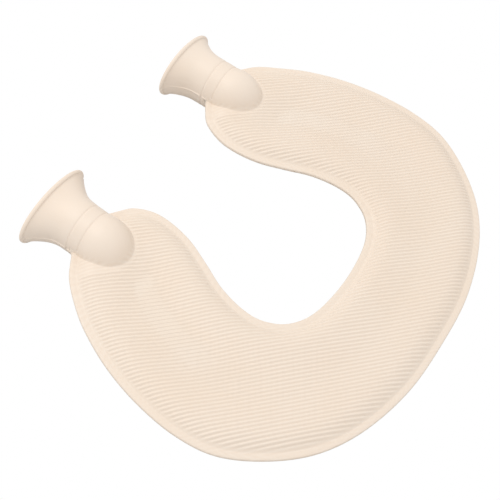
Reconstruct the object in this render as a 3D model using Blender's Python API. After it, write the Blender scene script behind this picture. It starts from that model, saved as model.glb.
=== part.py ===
"""U-shaped rubber hot water bottle: two moulded panels that meet at a seam, and two necks with funnel mouths.

Everything is modelled round the seam plane (X across, Y towards the mouths), in millimetres, and then set
down on the surface: the seam rises towards the mouths, because the funnels stand deeper than the bag.
"""

import math

import bmesh
import bpy
import numpy as np
from mathutils.geometry import delaunay_2d_cdt

MM = 0.001

# Panels
SEAM_GAP = 0.3  # between the two panels, and round each neck
WALL = 1.8
RIM_WIDTH = 5.5  # flat band round the edge
ROLL_WIDTH = 14.0  # the upper panel's round shoulder beside the rim band
ROLL_RISE = 5.6
SINK_START = 20.0  # distance from the edge where the empty bag starts to sink
SINK_END = 50.0
SINK_BASE = 2.0
SINK_ARM = 4.6
SINK_GROWS_Y = (20.0, 100.0)  # from the closed end's depth to the arms'
SINK_FADES_Y = (155.0, 185.0)  # the necks hold the bag up here
LOWER_STEP_WIDTH = 9.0
LOWER_STEP_RISE = 3.2
LOWER_BULGE = 11.0
LOWER_REACH = 50.0  # distance from the edge where the bulge levels out

# Ribs on the upper panel
RIB_PITCH = 3.08
RIB_PHASE = 0.38  # of a pitch, from the origin to the crest of rib 0
RIB_HEIGHT = 0.65
RIB_ANGLE = math.radians(-42.5)  # from +X
RIB_START = 7.0  # distance from the edge where a rib starts
RIB_FULL = 9.0  # and where it has its full height
RIB_BOSS = 0.5  # and outside a neck's boss
RIB_FADE = 2.0
RIB_END_Y = 206.0
FIRST_RIBS = (62, 18)  # right and left: beside a neck the shoulder is plain up to this rib,
RIB_BESIDE = 9.5  # or up to this distance past the boss's middle, along the ribs
RIB_ALONG = (math.cos(RIB_ANGLE), math.sin(RIB_ANGLE))
RIB_ACROSS = (-math.sin(RIB_ANGLE), math.cos(RIB_ANGLE))
CONTOURS = (RIM_WIDTH, RIB_START, RIB_FULL, 12.5, 17.5, 27.0, 42.0)
PLAIN_CONTOURS = (RIM_WIDTH, 8.5, 12.5, 19.5, 36.0)

# Fineness of the panels' mesh
EDGE_STEP = 9.0  # longest stretch along the edge
EDGE_TOLERANCE = 0.12
CONTOUR_STEP = 12.0  # longest stretch along a contour of the ribbed side
CONTOUR_TOLERANCE = 0.2
SAMPLE_STEP = 1.0  # between the points that curves and ribs are cut from
MERGE_DISTANCE = 0.22  # points nearer than this become one

# Necks
NECK_X = 95.3
TOE_IN = 0.035  # the mouths lie a little closer together than the bosses
TOE_Y = 215.0
ARM_EXTRA = {1: 3.8, -1: 0.0}  # the right arm reaches further than the left
ARM_EXTRA_Y = (185.0, 215.0)  # the bag's edge gains it between these
NECK_ROLL = {1: math.radians(-7.5), -1: 0.0}
MOUTH_SQUEEZE = {1: -0.03, -1: 0.03}  # wider by this share of its width, and as much lower
BOSS_Y = 204.3  # where the round end of the boss starts
BOSS_LENGTH = 27.0
GROOVES_Y = (214.0, 224.3)
GROOVE_WIDTH = 0.9
GROOVE_DEPTH = 0.5
FIN_START_Y = 219.0
FIN_HEIGHT = 0.6
FIN_HALF_ANGLE = math.radians(3.0)
BOSS_SHARES = (0.985, 0.93, 0.82, 0.66, 0.45, 0.22)  # rings of the boss's end, as shares of its length
RING_SIDES = 26
THROAT_RADIUS = 13.0
THROAT_END_Y = 196.5
PASSAGE_WIDTH = 24.0
PASSAGE_HEIGHT = 15.0

# How it lies
SEAM_HEIGHT = 14.8  # above the surface, at y = 0
SEAM_SLOPE = 0.036

# Right half of the bag's edge, outer side, from the base's middle to the neck: x, y
OUTER_EDGE = (
    (0.0, -59.6),
    (50.0, -57.1),
    (97.6, -45.2),
    (134.4, -26.3),
    (162.2, 0.6),
    (183.0, 34.3),
    (189.0, 68.0),
    (186.0, 104.8),
    (177.0, 139.6),
    (163.2, 170.5),
    (149.8, 190.6),
    (137.0, 205.2),
    (125.5, 213.2),
    (119.5, 218.0),
)
# The same, inner side
INNER_EDGE = (
    (0.0, 32.8),
    (38.4, 36.9),
    (60.7, 48.2),
    (72.0, 65.6),
    (74.0, 84.0),
    (69.2, 107.4),
    (59.2, 129.6),
    (50.2, 151.3),
    (46.2, 172.0),
    (47.0, 189.6),
    (54.2, 204.8),
    (64.6, 213.0),
    (70.5, 218.0),
)
# Outside of a neck beyond the boss: y, half width, half height
NECK_OUTSIDE = (
    (BOSS_Y, 22.8, 24.0),
    (213.0, 21.9, 22.9),
    (228.5, 21.7, 22.7),
    (236.5, 22.8, 22.2),
    (244.0, 26.6, 21.9),
    (250.2, 31.4, 22.3),
    (254.1, 35.4, 22.9),
)
# Rolled bead at the mouth, from outside to inside: y, half width, half height
MOUTH_BEAD = (
    (255.1, 37.2, 23.9),
    (256.5, 38.0, 24.8),
    (257.9, 37.2, 24.1),
    (258.1, 35.8, 22.7),
    (256.9, 34.5, 21.5),
)
# Inside of the funnel, down to the throat: y, half width, half height
NECK_INSIDE = (
    (253.5, 31.5, 20.3),
    (248.8, 27.4, 19.5),
    (243.0, 22.8, 18.9),
    (236.5, 18.6, 18.4),
    (231.8, 14.4, 14.4),
    (229.0, THROAT_RADIUS, THROAT_RADIUS),
    (THROAT_END_Y, THROAT_RADIUS, THROAT_RADIUS),
)

COLOURS = {
    "panel": (0.86, 0.75, 0.65, 1.0),
    "neck": (0.88, 0.78, 0.68, 1.0),
}


def clear_scene():
    for old in list(bpy.data.objects):
        bpy.data.objects.remove(old, do_unlink=True)


def new_collection(name):
    collection = bpy.data.collections.new(name)
    bpy.context.scene.collection.children.link(collection)
    return collection


def rubber(name, colour):
    material = bpy.data.materials.new(name)
    material.use_nodes = True
    shader = material.node_tree.nodes["Principled BSDF"]
    shader.inputs["Base Color"].default_value = colour
    shader.inputs["Roughness"].default_value = 0.6
    material.diffuse_color = colour
    return material


def smooth(t):
    t = np.clip(t, 0.0, 1.0)
    return t * t * (3.0 - 2.0 * t)


def ramp(value, low, high):
    return smooth((value - low) / (high - low))


def spline(points, side, step):
    """Catmull-Rom curve through the points, which leaves x = 0 square to it; side -1 mirrors it."""
    before = (-points[1][0], points[1][1])
    after = tuple(2 * a - b for a, b in zip(points[-1], points[-2]))
    p = np.array([before, *points, after]) * (side, 1.0)
    p[:, 1] += ARM_EXTRA[side] * ramp(p[:, 1], *ARM_EXTRA_Y)
    out = []
    for i in range(1, len(p) - 2):
        a, b, c, d = p[i - 1 : i + 3]
        count = max(2, int(np.linalg.norm(c - b) / step))
        t = np.arange(count)[:, None] / count
        out.append(
            0.5
            * (
                2 * b
                + (c - a) * t
                + (2 * a - 5 * b + 4 * c - d) * t**2
                + (3 * b - a - 3 * c + d) * t**3
            )
        )
    return np.vstack([*out, p[-2:-1]])


def thin_out(points, tolerance, longest):
    """Leaves out the points that lie within the tolerance of a straight run."""
    kept = [0]
    for end in range(2, len(points)):
        start = points[kept[-1]]
        run = points[end] - start
        length = np.linalg.norm(run)
        between = points[kept[-1] + 1 : end] - start
        off = np.abs(between[:, 0] * run[1] - between[:, 1] * run[0]) / length
        if off.max() > tolerance or length > longest:
            kept.append(end - 1)
    return points[[*kept, len(points) - 1]]


def edge_runs(step):
    """The edge as open runs between the neck ends: outer right, outer left, inner right, inner left."""
    return [spline(table, side, step) for table in (OUTER_EDGE, INNER_EDGE) for side in (1, -1)]


def outline():
    """The closed edge, counter-clockwise from the base's middle."""
    right_out, left_out, right_in, left_in = (
        thin_out(run, EDGE_TOLERANCE, EDGE_STEP) for run in edge_runs(SAMPLE_STEP)
    )
    return np.vstack([right_out, right_in[::-1], left_in[1:], left_out[:0:-1]])


def distance_to(runs, points):
    """Distance from each point to the nearest of the runs."""
    best = np.full(len(points), np.inf)
    for run in runs:
        for a, b in zip(run[:-1], run[1:]):
            along = b - a
            t = np.clip((points - a) @ along / (along @ along), 0.0, 1.0)
            best = np.minimum(best, np.hypot(*(points - a - t[:, None] * along).T))
    return best


def inside(polygon, points):
    """Whether each point lies inside the closed polygon."""
    x, y = points.T
    hit = np.zeros(len(points), bool)
    for (ax, ay), (bx, by) in zip(polygon, np.roll(polygon, -1, axis=0)):
        if ay != by:
            crosses = (ay > y) != (by > y)
            hit ^= crosses & (x < (bx - ax) * (y - ay) / (by - ay) + ax)
    return hit


def settle(share):
    """Rises fast from 0 and levels out at 1."""
    return 1.0 - (1.0 - np.clip(share, 0.0, 1.0)) ** 2


def upper_height(edge_distance, y):
    """Height of the upper panel's outside over the seam, without ribs: a roll at the rim, then a sag."""
    roll = ROLL_RISE * settle((edge_distance - RIM_WIDTH) / ROLL_WIDTH)
    depth = SINK_BASE + (SINK_ARM - SINK_BASE) * ramp(y, *SINK_GROWS_Y)
    depth *= 1.0 - ramp(y, *SINK_FADES_Y)
    return WALL + roll - depth * ramp(edge_distance, SINK_START, SINK_END)


def lower_height(edge_distance):
    """Depth of the lower panel's outside under the seam."""
    d = edge_distance - RIM_WIDTH
    step = LOWER_STEP_RISE * smooth(d / LOWER_STEP_WIDTH)
    return WALL + step + LOWER_BULGE * settle(d / (LOWER_REACH - RIM_WIDTH))


def neck_middle(side, y):
    """X of a neck's middle, at the y of the shorter arm."""
    return side * (NECK_X - TOE_IN * (y - TOE_Y))


def rib_share(edge_distance, points):
    """How much of its full height a rib has at each point."""
    x, y = points.T
    right = x > 0.0
    y = y - np.where(right, ARM_EXTRA[1], ARM_EXTRA[-1])
    middle = np.where(right, neck_middle(1, y), neck_middle(-1, y))
    first = np.where(right, *FIRST_RIBS)
    number = points @ RIB_ACROSS / RIB_PITCH - RIB_PHASE
    beside = np.c_[x - middle, y - BOSS_Y] @ RIB_ALONG
    half_width = NECK_OUTSIDE[0][1]
    over_boss = np.hypot((x - middle) / half_width, np.minimum(y - BOSS_Y, 0.0) / BOSS_LENGTH)
    shares = (
        (edge_distance - RIB_START) / (RIB_FULL - RIB_START),
        (half_width * (over_boss - 1.0) - RIB_BOSS) / RIB_FADE,
        (RIB_END_Y - y) / RIB_FADE,
        np.maximum(2.0 * (first + 0.5 - number), (beside - RIB_BESIDE) / RIB_FADE),
    )
    return np.clip(np.minimum.reduce(shares), 0.0, 1.0)


def rib_wave(points):
    """1 on a rib's crest, 0 in the middle of a valley."""
    number = points @ RIB_ACROSS / RIB_PITCH - RIB_PHASE
    return np.abs(2.0 * (number - np.floor(number)) - 1.0)


def contour_runs(runs, polygon, distance, coarseness):
    """Curves that run inside the edge at the given distance from it."""
    found = []
    for run in runs:
        along = np.gradient(run, axis=0)
        along /= np.linalg.norm(along, axis=1)[:, None]
        normal = np.c_[-along[:, 1], along[:, 0]]
        for side in (distance, -distance):
            moved = run + side * normal
            clear = distance_to(runs, moved) > 0.99 * distance
            keep = inside(polygon, moved) & clear
            cuts = np.flatnonzero(np.diff(np.r_[False, keep, False].astype(int)))
            found += [moved[a:b] for a, b in zip(cuts[::2], cuts[1::2]) if b - a > 3]
    return [
        thin_out(run, coarseness * CONTOUR_TOLERANCE, coarseness * CONTOUR_STEP)
        for run in found
    ]


def rib_lines(runs, polygon):
    """The straight crest and valley lines of the ribs, cut to the ribbed area."""
    along, across = np.array(RIB_ALONG), np.array(RIB_ACROSS)
    halves = 2.0 * (polygon @ across / RIB_PITCH - RIB_PHASE)
    far = np.hypot(*polygon.T).max()
    reach = np.arange(-far, far, SAMPLE_STEP)
    lines = []
    for k in range(math.ceil(halves.min()), math.floor(halves.max())):
        points = along * reach[:, None] + across * (RIB_PITCH * (k / 2 + RIB_PHASE))
        points = points[inside(polygon, points)]
        if len(points) < 2:
            continue
        ribbed = rib_share(distance_to(runs, points), points) > 0.0
        gaps = np.diff(points @ along) > 1.5 * SAMPLE_STEP
        breaks = np.flatnonzero(np.diff(ribbed.astype(int)) | gaps) + 1
        for piece, on in zip(np.split(points, breaks), np.split(ribbed, breaks)):
            if on[0] and len(piece) > 3:
                lines.append(piece[[0, -1]])
    return lines


def flat_mesh(polygon, runs):
    """Triangulates the area inside the polygon, with every run as edges of the mesh."""
    points = [tuple(p) for p in polygon]
    count = len(points)
    edges = [(i, (i + 1) % count) for i in range(count)]
    for run in runs:
        start = len(points)
        points += [tuple(p) for p in run]
        edges += [(i, i + 1) for i in range(start, len(points) - 1)]
    made = delaunay_2d_cdt(points, edges, [], 0, 1e-5)
    flat = np.array([tuple(p) for p in made[0]])
    faces = np.array(made[2])
    faces = faces[inside(polygon, flat[faces].mean(axis=1))]
    return flat, faces


def tidy_flat(points, faces):
    """Merges points that lie too close together, and leaves the edge as it is."""
    bm = bmesh.new()
    made = [bm.verts.new((x, y, 0.0)) for x, y in points]
    for face in faces:
        bm.faces.new([made[i] for i in face])
    loose = [v for v in bm.verts if not v.link_faces]
    bmesh.ops.delete(bm, geom=loose, context="VERTS")
    movable = [v for v in bm.verts if not v.is_boundary]
    bmesh.ops.remove_doubles(bm, verts=movable, dist=MERGE_DISTANCE)
    bmesh.ops.dissolve_degenerate(bm, dist=MERGE_DISTANCE / 20, edges=bm.edges[:])
    bmesh.ops.triangulate(bm, faces=bm.faces[:])
    bm.verts.index_update()
    flat = np.array([v.co[:2] for v in bm.verts])
    kept = np.array([[v.index for v in f.verts] for f in bm.faces])
    bm.free()
    return flat, kept


def set_down(points):
    """From the seam plane's frame to how the bottle lies on the surface."""
    out = np.array(points, float)
    out[:, 2] += SEAM_HEIGHT + SEAM_SLOPE * out[:, 1]
    return out


def shell(outside, inner, polygon):
    """Joins an outer and an inner sheet that share the polygon as their edge into one closed body."""
    bm = bmesh.new()
    rims = []
    for points, faces in (outside, inner):
        made = [bm.verts.new(p) for p in points]
        for face in faces:
            bm.faces.new([made[i] for i in face])
        nearest = [np.hypot(*(points[:, :2] - p).T).argmin() for p in polygon]
        rims.append([made[i] for i in nearest])
    for i in range(len(polygon)):
        j = (i + 1) % len(polygon)
        bm.faces.new((rims[0][i], rims[0][j], rims[1][j], rims[1][i]))
    bmesh.ops.recalc_face_normals(bm, faces=bm.faces[:])
    bmesh.ops.triangulate(bm, faces=[f for f in bm.faces if len(f.verts) > 3])
    return bm


def add_object(bm, name, collection, material=None):
    for vert in bm.verts:
        vert.co *= MM
    mesh = bpy.data.meshes.new(name)
    bm.to_mesh(mesh)
    bm.free()
    obj = bpy.data.objects.new(name, mesh)
    collection.objects.link(obj)
    if material:
        mesh.materials.append(material)
    return obj


def panel(name, upper, collection, material):
    """One moulded sheet of the bag: the ribbed upper one, or the plain lower one that lies on the surface."""
    polygon = outline()
    runs = edge_runs(2 * SAMPLE_STEP)
    sign = 1.0 if upper else -1.0
    plain = [c for level in PLAIN_CONTOURS for c in contour_runs(runs, polygon, level, 2)]
    ribbed = [c for level in CONTOURS for c in contour_runs(runs, polygon, level, 1)]
    ribbed += rib_lines(runs, polygon)
    sheets = []
    for lines, is_outer in ((ribbed if upper else plain, True), (plain, False)):
        flat, faces = tidy_flat(*flat_mesh(polygon, lines))
        d = distance_to(runs, flat)
        height = upper_height(d, flat[:, 1]) if upper else lower_height(d)
        if not is_outer:
            height = np.maximum(height - WALL, 0.0) + SEAM_GAP / 2
        elif upper:
            height += RIB_HEIGHT * rib_share(d, flat) * (rib_wave(flat) - 0.5)
        placed = set_down(np.c_[flat, sign * height])
        if not upper:
            floor = 0.0 if is_outer else WALL
            placed[:, 2] = np.maximum(placed[:, 2], floor)
        sheets.append((placed, faces))
    return add_object(shell(*sheets, polygon), name, collection, material)


def ring(bm, side, y, half_width, half_height, fin=0.0):
    """One cross-section of a neck; the fin is the mould's parting line at both sides."""
    angles = [2 * math.pi * i / RING_SIDES for i in range(RING_SIDES)]
    bumps = {0, RING_SIDES // 2}
    cosine, sine = math.cos(NECK_ROLL[side]), math.sin(NECK_ROLL[side])
    middle, y_here = neck_middle(side, y), y + ARM_EXTRA[side]
    points = []
    for i, angle in enumerate(angles):
        for shift in (-FIN_HALF_ANGLE, 0.0, FIN_HALF_ANGLE) if i in bumps else (0.0,):
            grow = fin if i in bumps and shift == 0.0 else 0.0
            x = (half_width + grow) * math.cos(angle + shift)
            z = half_height * math.sin(angle + shift)
            points.append((middle + x * cosine - z * sine, y_here, x * sine + z * cosine))
    placed = set_down(points)
    placed[:, 2] = np.maximum(placed[:, 2], 0.0)
    return [bm.verts.new(p) for p in placed]


def loft(bm, loops):
    """Closed body through the rings; a ring of one point closes an end, as a cap does."""
    for a, b in zip(loops[:-1], loops[1:]):
        count = max(len(a), len(b))
        for i in range(count):
            j = (i + 1) % count
            corners = [a[i % len(a)], a[j % len(a)], b[j % len(b)], b[i % len(b)]]
            bm.faces.new(list(dict.fromkeys(corners)))
    for end in (loops[0], loops[-1]):
        if len(end) > 1:
            bm.faces.new(end)
    bmesh.ops.recalc_face_normals(bm, faces=bm.faces[:])
    bmesh.ops.triangulate(bm, faces=bm.faces[:])
    return bm


def squeezed(side, y, half_width, half_height):
    """The funnel's size at y once its mouth has taken its oval."""
    start, mouth = GROOVES_Y[1], MOUTH_BEAD[0][0]
    share = MOUTH_SQUEEZE[side] * ramp(y, start, mouth)
    return half_width * (1.0 + share), half_height * (1.0 - share)


def neck_size(y):
    """Half width and half height of a neck's outside at y."""
    table = np.array(NECK_OUTSIDE)
    return np.interp(y, table[:, 0], table[:, 1]), np.interp(y, table[:, 0], table[:, 2])


def boss_rings(bm, side, grow=0.0):
    """The round end of the boss, from its tip to the straight part."""
    end = BOSS_Y - BOSS_LENGTH - grow
    tip = set_down([(neck_middle(side, end), end + ARM_EXTRA[side], 0.0)])[0]
    loops = [[bm.verts.new(tip)]]
    width, height = (size + grow for size in NECK_OUTSIDE[0][1:])
    for share in BOSS_SHARES:
        scale = math.sqrt(1.0 - share**2)
        y = BOSS_Y - (BOSS_LENGTH + grow) * share
        loops.append(ring(bm, side, y, width * scale, height * scale))
    return loops


def neck(name, side, collection, cutters, material):
    """Boss, collar with two grooves and oval funnel, hollow all through."""
    bm = bmesh.new()
    loops = boss_rings(bm, side)
    stations = [(y, 0.0) for y in (BOSS_Y, FIN_START_Y - 1.0)]
    for groove in GROOVES_Y:
        for offset, depth in ((-1.0, 0.0), (-0.4, 1.0), (0.4, 1.0), (1.0, 0.0)):
            stations.append((groove + offset * GROOVE_WIDTH / 2, depth * GROOVE_DEPTH))
    stations += [(row[0], 0.0) for row in NECK_OUTSIDE[1:]]
    for y, cut in sorted(stations):
        width, height = neck_size(y)
        fin = FIN_HEIGHT if y >= FIN_START_Y and not cut else 0.0
        loops.append(ring(bm, side, y, *squeezed(side, y, width - cut, height - cut), fin))
    for y, width, height in MOUTH_BEAD + NECK_INSIDE:
        loops.append(ring(bm, side, y, *squeezed(side, y, width, height)))
    body = add_object(loft(bm, loops), name, collection, material)

    bm = bmesh.new()
    bmesh.ops.create_cube(bm, size=1.0)
    start, end = BOSS_Y - BOSS_LENGTH - 5.0, THROAT_END_Y + 1.0
    middle = neck_middle(side, (start + end) / 2)
    for vert in bm.verts:
        vert.co.x = middle + vert.co.x * PASSAGE_WIDTH
        vert.co.y = ARM_EXTRA[side] + (start + end) / 2 + vert.co.y * (end - start)
        vert.co.z *= PASSAGE_HEIGHT
        vert.co.z += SEAM_HEIGHT + SEAM_SLOPE * vert.co.y
    passage = add_object(bm, name + "_passage", cutters)
    cut_away(body, passage)
    return body


def neck_envelope(name, side, cutters):
    """The space that a neck and the gap round it take out of the panels."""
    bm = bmesh.new()
    loops = boss_rings(bm, side, SEAM_GAP)
    for y in (BOSS_Y, NECK_OUTSIDE[1][0], FIN_START_Y + 5.0):
        width, height = (size + SEAM_GAP for size in neck_size(y))
        loops.append(ring(bm, side, y, width, height))
    return add_object(loft(bm, loops), name, cutters)


def cut_away(obj, cutter):
    modifier = obj.modifiers.new("cut_" + cutter.name, "BOOLEAN")
    modifier.operation = "DIFFERENCE"
    modifier.solver = "EXACT"
    modifier.object = cutter
    cutter.display_type = "WIRE"
    cutter.hide_render = True


def centre(objects):
    """Moves everything so that the origin is under the middle of the bounding box."""
    bpy.context.view_layer.update()
    ys = [corner[1] for obj in objects for corner in obj.bound_box]
    shift = (min(ys) + max(ys)) / 2
    for obj in bpy.data.objects:
        for vert in obj.data.vertices:
            vert.co.y -= shift


def main():
    clear_scene()
    bottle = new_collection("u_shaped_hot_water_bottle")
    cutters = new_collection("cutters")
    cutters.hide_render = True
    panel_rubber = rubber("panel_rubber", COLOURS["panel"])
    lower_rubber = rubber("lower_rubber", COLOURS["panel"])
    sides = (("right", 1), ("left", -1))
    envelopes = [neck_envelope("envelope_" + word, side, cutters) for word, side in sides]
    panels = [
        panel("upper_panel", True, bottle, panel_rubber),
        panel("lower_panel", False, bottle, lower_rubber),
    ]
    for obj in panels:
        for envelope in envelopes:
            cut_away(obj, envelope)
    necks = [
        neck("neck_" + word, side, bottle, cutters, rubber("neck_rubber_" + word, COLOURS["neck"]))
        for word, side in sides
    ]
    centre(panels + necks)
    for obj in necks + panels:
        for face in obj.data.polygons:
            face.use_smooth = True


main()
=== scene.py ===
"""Looks of the U-shaped rubber hot water bottle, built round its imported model.

The bag and the necks are laid out round the seam plane: X across, Y towards the mouths. The last step sets
them down on the surface, where the seam rises towards the mouths. The tables are in millimetres.
"""

import math

import bmesh
import bpy
import numpy as np
from bpy.props import FloatProperty, FloatVectorProperty, PointerProperty
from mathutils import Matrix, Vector
from mathutils.geometry import delaunay_2d_cdt


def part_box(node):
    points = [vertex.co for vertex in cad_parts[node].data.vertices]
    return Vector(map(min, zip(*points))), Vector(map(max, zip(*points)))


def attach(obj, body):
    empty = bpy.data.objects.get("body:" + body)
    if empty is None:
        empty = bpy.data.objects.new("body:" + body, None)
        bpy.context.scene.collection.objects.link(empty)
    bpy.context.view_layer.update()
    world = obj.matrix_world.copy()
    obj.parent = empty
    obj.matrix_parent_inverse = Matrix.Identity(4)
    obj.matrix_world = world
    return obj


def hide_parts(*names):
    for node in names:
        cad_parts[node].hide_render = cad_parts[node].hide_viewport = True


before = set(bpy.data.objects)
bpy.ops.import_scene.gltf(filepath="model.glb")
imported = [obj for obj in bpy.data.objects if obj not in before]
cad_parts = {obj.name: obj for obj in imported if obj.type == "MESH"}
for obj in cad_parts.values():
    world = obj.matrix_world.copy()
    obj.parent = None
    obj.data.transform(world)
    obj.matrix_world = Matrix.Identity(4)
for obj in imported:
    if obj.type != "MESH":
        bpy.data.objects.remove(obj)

bl_info = {
    "name": "U-shaped hot water bottle",
    "version": (1, 0, 0),
    "blender": (4, 5, 0),
    "location": "3D View > Sidebar > Bottle",
    "description": "Builds the ribbed rubber bag, its two funnel necks and the studio",
    "category": "Add Mesh",
}

MM = 0.001

# Right half of the bag's edge, outer side, from the base's middle to the neck: x, y
OUTER_EDGE = (
    (0.0, -59.6),
    (50.0, -57.1),
    (97.6, -45.2),
    (134.4, -26.3),
    (162.2, 0.6),
    (183.0, 34.3),
    (189.0, 68.0),
    (186.0, 104.8),
    (177.0, 139.6),
    (163.2, 170.5),
    (149.8, 190.6),
    (137.0, 205.2),
    (125.5, 213.2),
    (119.4, 217.0),
    (116.4, 221.5),
)
# The same, inner side
INNER_EDGE = (
    (0.0, 32.8),
    (38.4, 36.9),
    (60.7, 48.2),
    (72.0, 65.6),
    (74.0, 84.0),
    (69.2, 107.4),
    (59.2, 129.6),
    (50.2, 151.3),
    (46.2, 172.0),
    (47.0, 189.6),
    (54.2, 204.8),
    (64.6, 213.0),
    (70.6, 217.0),
    (74.0, 221.5),
)
SHOULDER_END_Y = 218.0  # the notch round each boss starts here, beside the collar
SOFT_START = 0.8  # the rise beside the rim eases in over about this distance

# Sag of the empty bag between its round shoulders
SAG_SPAN = (20.0, 50.0)  # distance from the edge
SAG_GROWS_Y = (20.0, 100.0)
SAG_FADES_Y = (155.0, 185.0)

# Ribs, which rise to their full height over these spans
RIB_RIM_SPAN = (6.9, 9.2)  # distance from the edge
RIB_BOSS_SPAN = (0.4, 2.6)  # distance from a boss
RIB_END_SPAN = (204.0, 206.5)  # they end here along Y
FIRST_RIBS = (62.0, 18.0)  # right and left: beside a neck the shoulder is plain up to this rib,
RIB_BESIDE_SPAN = (9.5, 12.0)  # or up to here past the boss's middle, along the ribs
RIB_WAVE = 0.32  # share of a plain wave in a rib's section
RIB_CREST = 0.36  # and of a round crest

# Fine form of the sheets
WAVES_SPAN = (0.0, 20.0)  # past the rim, where the soft sheet's unevenness sets in
CREASE_WIDTH = 0.6
RIM_BAND_SPAN = (-0.6, 0.4)  # past the rim, where the band's colour ends
TUCK = 0.6  # how far the sheet dips under a boss's surface
TUCK_SPAN = (0.85, 1.2)  # of the blend

# Necks, in the seam frame; a y is the shorter arm's
NECK_X = 95.3
TOE_IN = 0.035  # the mouths lie a little closer together than the bosses
TOE_Y = 215.0
ARM_EXTRA = {1: 3.8, -1: 0.0}  # the right arm reaches further than the left
ARM_EXTRA_Y = (185.0, 215.0)  # the bag's edge gains it between these
NECK_ROLL = {1: math.radians(-7.5), -1: 0.0}
NECK_ROLL_Y = (207.0, 218.0)
MOUTH_SQUEEZE = {1: -0.03, -1: 0.03}  # wider by this share of its width, and as much lower
BOSS_Y = 204.3  # where the round end of the boss starts
BOSS_LENGTH = 27.0
BOSS_HALF = (22.8, 24.0)  # half width, half height
COLLAR_Y = 214.3  # the boss has narrowed to the collar here
COLLAR_HALF = (21.7, 22.7)
GROOVES_Y = (214.0, 224.3)
GROOVE_SPREAD = 0.45  # of its width
FIN_START_SPAN = (216.5, 219.5)
FIN_END_SPAN = (252.6, 254.0)
FIN_HALF_WIDTH = 0.5
FIN_BREAK = 0.6  # of a groove's width, where the fin gives way to it
THROAT_RADIUS = 13.0
THROAT_START_Y = 225.5
THROAT_END_Y = 196.5
THROAT_END_STEP = 0.6
ELLIPSE = 2.0  # roundness of a section; more is squarer
PASSAGE = (12.0, 7.5, 5.0)  # half width, half height, roundness
PASSAGE_END = (7.5, 6.5, 4.0)
PASSAGE_END_Y = 179.4
BLUNT_SHARE = 0.42  # the boss's hidden end stops at the ring of this share
UNDER_SHEET = 0.3  # and lies this much under its surface there
UNDER_SHEET_TURN = 0.13  # over this angle
HIDDEN_FLOOR = 0.06  # the flat under a boss lies this much over the surface, inside the lower panel
HIDDEN_FLOOR_Y = (200.0, 216.0)

# Outside of the funnel: y, half width, half height
FUNNEL_OUTSIDE = (
    (228.5, 21.7, 22.7),
    (232.7, 22.0, 22.45),
    (236.4, 22.8, 22.2),
    (240.1, 24.3, 21.95),
    (243.9, 26.5, 21.9),
    (247.6, 29.2, 22.05),
    (250.9, 32.0, 22.35),
    (253.5, 34.8, 22.75),
    (254.3, 35.7, 23.05),
)
# Rolled bead, from its foot on the outside, over the lip, to the inside
MOUTH_BEAD = (
    (254.65, 36.2, 23.4),
    (254.8, 36.95, 24.0),
    (255.4, 37.6, 24.5),
    (256.3, 38.0, 24.8),
    (257.2, 37.85, 24.7),
    (257.85, 37.2, 24.2),
    (258.1, 36.4, 23.5),
    (257.9, 35.5, 22.7),
    (257.3, 34.8, 22.0),
    (256.4, 34.1, 21.4),
)
# Inside of the funnel, down to the throat
FUNNEL_INSIDE = (
    (254.0, 31.9, 20.5),
    (251.2, 29.2, 19.8),
    (247.8, 26.4, 19.35),
    (244.0, 23.4, 19.0),
    (240.3, 20.9, 18.7),
    (237.0, 18.8, 18.2),
    (234.2, 16.6, 16.7),
    (231.8, 14.7, 14.7),
    (229.6, 13.3, 13.3),
    (228.0, 13.0, 13.0),
)

# How fine the bag's mesh is
LINES_PER_RIB = 6
EDGE_STEP = 2.0
RIM_CONTOURS = (0.06, 0.22, 0.5, 0.95, 2.6, 4.3, 5.0, 5.5, 6.0, 6.6)
PLAIN_CONTOURS = (7.5, 9.0, 10.5, 12.5, 15.0, 18.0, 22.0, 27.0, 33.0, 40.0, 48.0)
INNER_CONTOURS = (5.5, 8.5, 12.0, 17.0, 25.0, 38.0)
RIBBED_FROM = 7.2  # rib lines of the mesh start at this distance from the edge
FINE_TO = 20.0  # and have close points up to this distance
BOSS_REACH = 32.0  # and within this distance of a boss's middle
BOSS_LEVELS = (1.0, 0.75, 0.5, 0.25, 0.0, -0.25, -0.5, -0.75, -1.0, -1.3)
BOSS_EDGE_LEVEL = 1.25  # the sheet ends here, just under the boss's surface
FOOT_RINGS = (1.4, 3.2)  # further lines, this far outside the last level
RING_STEP = 1.3
RING_SEARCH = (2.0, 36.0)  # a line round a boss lies this far from the boss's middle line
STOP_SHORT = {"contour": 0.5, "ring": 1.0, "rib": 1.5}  # of the shoulder's end
CLEAR_SHARE = 0.98  # a contour keeps points that lie this near to its full distance
COARSE_EVERY = 4  # points of a rib line that count where it isn't fine


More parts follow.
